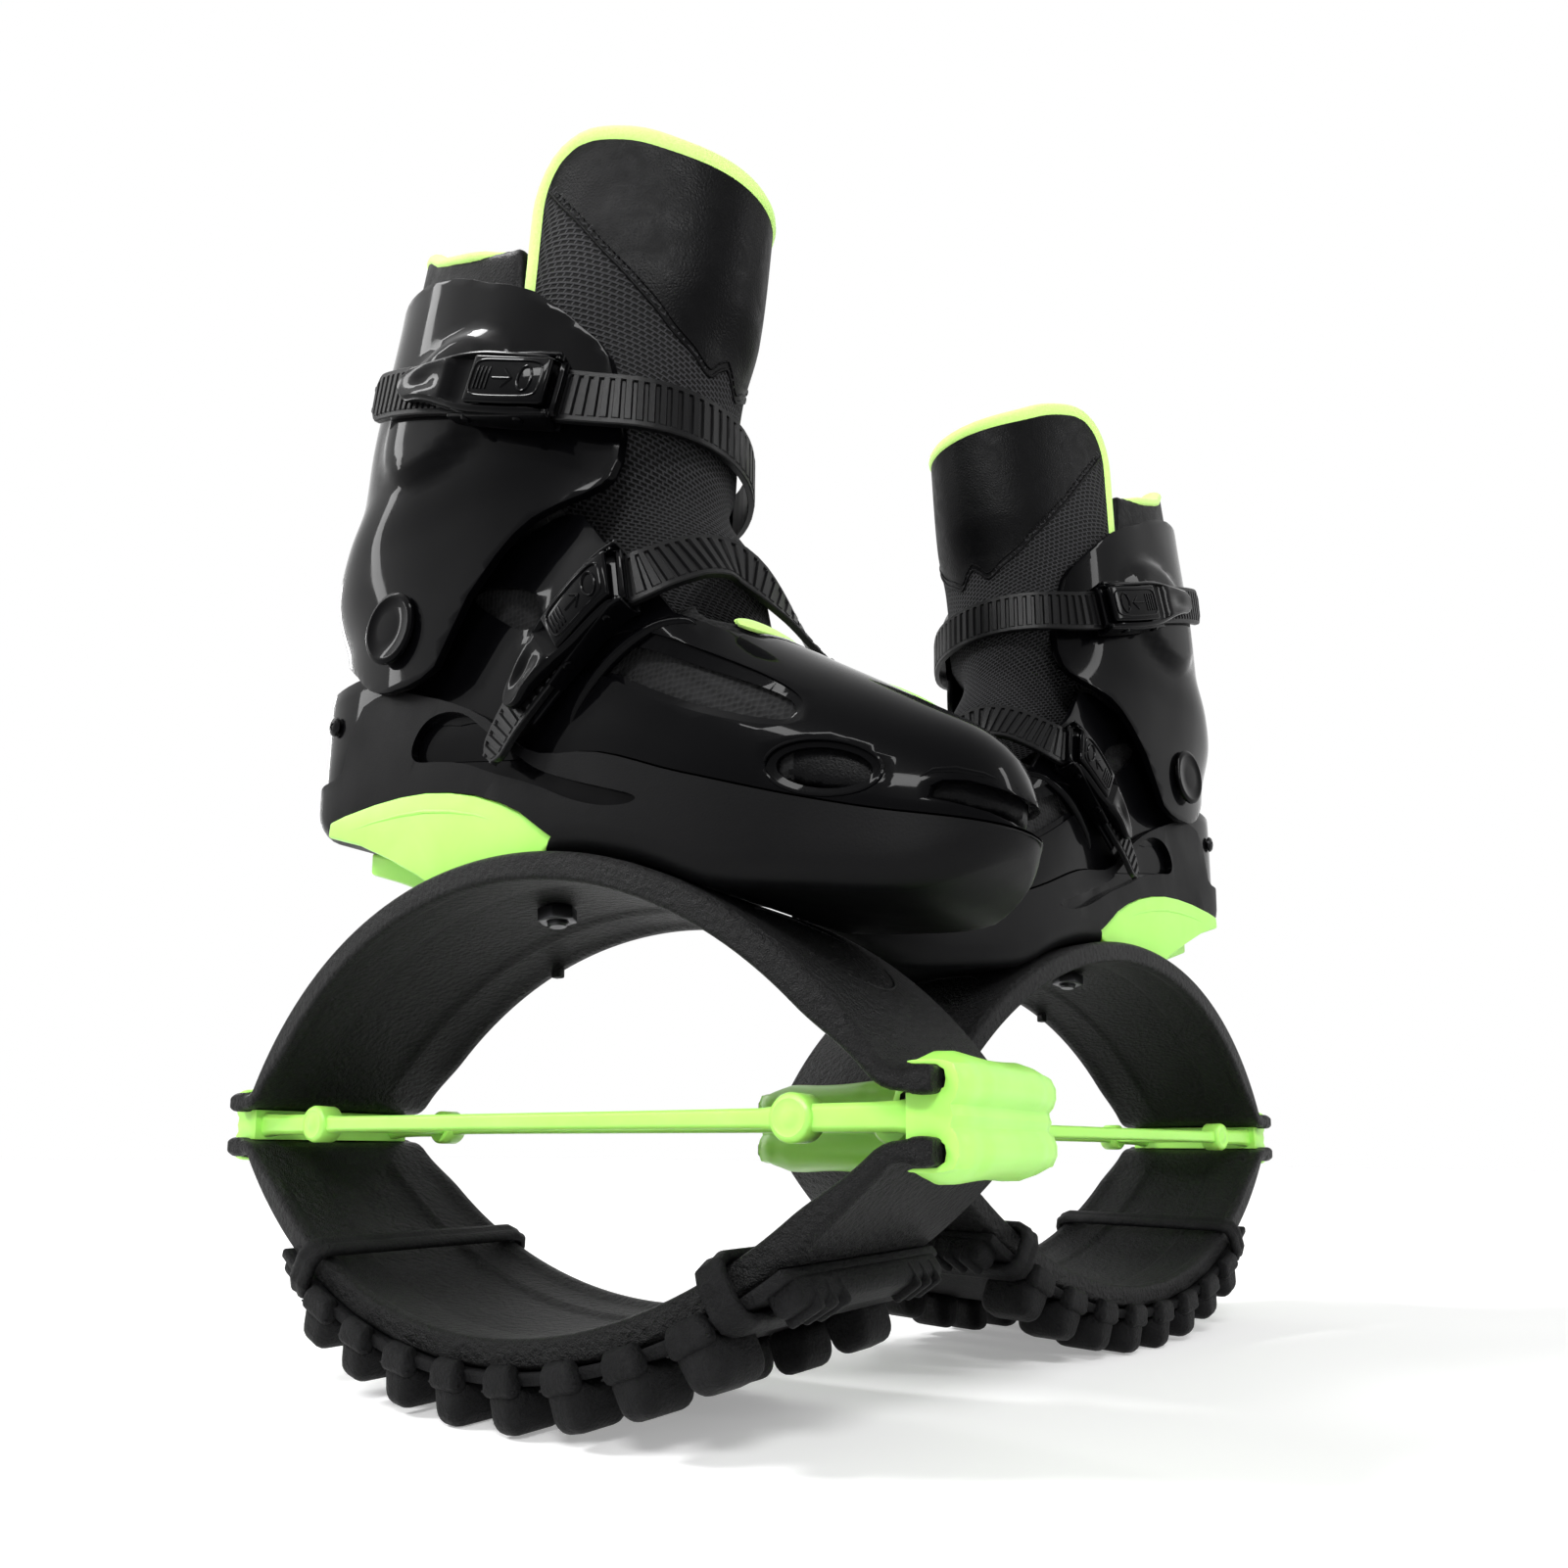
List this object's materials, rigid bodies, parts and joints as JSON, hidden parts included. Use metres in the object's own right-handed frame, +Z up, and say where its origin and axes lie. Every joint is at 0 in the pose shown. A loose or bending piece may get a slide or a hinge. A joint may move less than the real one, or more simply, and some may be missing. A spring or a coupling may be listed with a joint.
{
  "type": "jumping shoes",
  "caption": "Jumping shoes: hard-shell boots with hinged cuffs and ratchet straps, each standing on an oval ring of two bowed springs with a cleated rubber tread.",
  "frame": {"origin": "on the floor under the middle of the pair's bounding box", "axes": "+X from heel to toe of the right shoe, +Y to that shoe's left, where the left shoe stands turned towards it, +Z up"},
  "size_m": [0.3516, 0.4806, 0.4775],
  "materials": {
    "gloss_black_plastic": "polished black finish",
    "black_rubber": "matte black rubber",
    "lime_plastic": "smooth bright lime, slightly waxy",
    "dark_steel": "plain dark fastener steel",
    "black_fabric": "black padded mesh fabric",
    "matte_black_plastic": "fine grained moulded finish",
    "black_leatherette": "smooth black imitation leather"
  },
  "bodies": {
    "rings": {"right_lower_spring": "matte_black_plastic", "right_upper_spring": "matte_black_plastic", "right_tension_spring": "lime_plastic", "right_tread": "black_rubber", "right_front_collar": "black_rubber", "right_rear_collar": "black_rubber", "left_lower_spring": "matte_black_plastic", "left_upper_spring": "matte_black_plastic", "left_tension_spring": "lime_plastic", "left_tread": "black_rubber", "left_front_collar": "black_rubber", "left_rear_collar": "black_rubber"},
    "right_boot": {"right_sole_base": "matte_black_plastic", "right_outer_heel_insert": "lime_plastic", "right_inner_heel_insert": "lime_plastic", "right_heel_plug": "lime_plastic", "right_sole_bolt": "dark_steel", "right_sole_nut": "dark_steel", "right_foot_shell": "gloss_black_plastic", "right_outer_ankle_rivet": "gloss_black_plastic", "right_inner_ankle_rivet": "gloss_black_plastic", "right_outer_heel_screw": "dark_steel", "right_inner_heel_screw": "dark_steel", "right_liner": "black_fabric", "right_tongue": "black_leatherette", "right_instep_strap": "black_rubber", "right_instep_buckle_base": "gloss_black_plastic", "right_instep_strap_rivet": "gloss_black_plastic"},
    "right_cuff_body": {"right_cuff": "gloss_black_plastic", "right_top_strap": "black_rubber", "right_top_buckle_base": "gloss_black_plastic", "right_top_strap_rivet": "gloss_black_plastic"},
    "right_top_lever": {"right_top_buckle_lever": "gloss_black_plastic"},
    "right_top_tab": {"right_top_release_tab": "gloss_black_plastic"},
    "right_instep_lever": {"right_instep_buckle_lever": "gloss_black_plastic"},
    "right_instep_tab": {"right_instep_release_tab": "gloss_black_plastic"},
    "left_boot": {"left_sole_base": "matte_black_plastic", "left_outer_heel_insert": "lime_plastic", "left_inner_heel_insert": "lime_plastic", "left_heel_plug": "lime_plastic", "left_sole_bolt": "dark_steel", "left_sole_nut": "dark_steel", "left_foot_shell": "gloss_black_plastic", "left_outer_ankle_rivet": "gloss_black_plastic", "left_inner_ankle_rivet": "gloss_black_plastic", "left_outer_heel_screw": "dark_steel", "left_inner_heel_screw": "dark_steel", "left_liner": "black_fabric", "left_tongue": "black_leatherette", "left_instep_strap": "black_rubber", "left_instep_buckle_base": "gloss_black_plastic", "left_instep_strap_rivet": "gloss_black_plastic"},
    "left_cuff_body": {"left_cuff": "gloss_black_plastic", "left_top_strap": "black_rubber", "left_top_buckle_base": "gloss_black_plastic", "left_top_strap_rivet": "gloss_black_plastic"},
    "left_top_lever": {"left_top_buckle_lever": "gloss_black_plastic"},
    "left_top_tab": {"left_top_release_tab": "gloss_black_plastic"},
    "left_instep_lever": {"left_instep_buckle_lever": "gloss_black_plastic"},
    "left_instep_tab": {"left_instep_release_tab": "gloss_black_plastic"}
  },
  "joints": [
    {"name": "right_bounce", "type": "slide", "parent": "rings", "child": "right_boot", "axis": [0, 0, -1], "range_m": [0, 0.03], "stiffness_N_per_m": 20000, "springref_m": -0.002, "deforming": ["right_upper_spring"]},
    {"name": "right_cuff_lean", "type": "hinge", "parent": "right_boot", "child": "right_cuff_body", "pos_m": [-0.06927, -0.17622, 0.29504], "axis": [0, 1, 0], "range_deg": [-3, 7], "deforming": ["right_liner", "right_tongue"]},
    {"name": "right_top_lever_open", "type": "hinge", "parent": "right_cuff_body", "child": "right_top_lever", "pos_m": [0.02489, -0.22744, 0.35667], "axis": [0.2269, 0.0861, 0.9701], "range_deg": [0, 60]},
    {"name": "right_top_tab_open", "type": "hinge", "parent": "right_top_lever", "child": "right_top_tab", "pos_m": [0.0228, -0.23259, 0.35751], "axis": [0.2519, 0.0843, 0.9641], "range_deg": [0, 20], "stiffness_Nm_per_rad": 0.05},
    {"name": "right_instep_lever_open", "type": "hinge", "parent": "right_boot", "child": "right_instep_lever", "pos_m": [0.05582, -0.22661, 0.27915], "axis": [-0.2722, 0.052, 0.9608], "range_deg": [0, 60]},
    {"name": "right_instep_tab_open", "type": "hinge", "parent": "right_instep_lever", "child": "right_instep_tab", "pos_m": [0.05185, -0.23123, 0.27865], "axis": [-0.2634, 0.0609, 0.9628], "range_deg": [0, 20], "stiffness_Nm_per_rad": 0.05},
    {"name": "left_bounce", "type": "slide", "parent": "rings", "child": "left_boot", "axis": [0, 0, -1], "range_m": [0, 0.03], "stiffness_N_per_m": 20000, "springref_m": -0.002, "deforming": ["left_upper_spring"]},
    {"name": "left_cuff_lean", "type": "hinge", "parent": "left_boot", "child": "left_cuff_body", "pos_m": [0.10961, 0.12802, 0.29504], "axis": [0.9744, -0.225, 0], "range_deg": [-3, 7], "deforming": ["left_liner", "left_tongue"]},
    {"name": "left_top_lever_open", "type": "hinge", "parent": "left_cuff_body", "child": "left_top_lever", "pos_m": [0.13834, 0.02476, 0.35667], "axis": [0.135, 0.2017, -0.9701], "range_deg": [0, 60]},
    {"name": "left_top_tab_open", "type": "hinge", "parent": "left_top_lever", "child": "left_top_tab", "pos_m": [0.14383, 0.02563, 0.35751], "axis": [0.1388, 0.2265, -0.9641], "range_deg": [0, 20], "stiffness_Nm_per_rad": 0.05},
    {"name": "left_instep_lever_open", "type": "hinge", "parent": "left_boot", "child": "left_instep_lever", "pos_m": [0.13057, -0.0052, 0.27915], "axis": [-0.0105, -0.2769, -0.9608], "range_deg": [0, 60]},
    {"name": "left_instep_tab_open", "type": "hinge", "parent": "left_instep_lever", "child": "left_instep_tab", "pos_m": [0.13596, -0.00237, 0.27865], "axis": [0.0001, -0.2704, -0.9628], "range_deg": [0, 20], "stiffness_Nm_per_rad": 0.05}
  ]
}
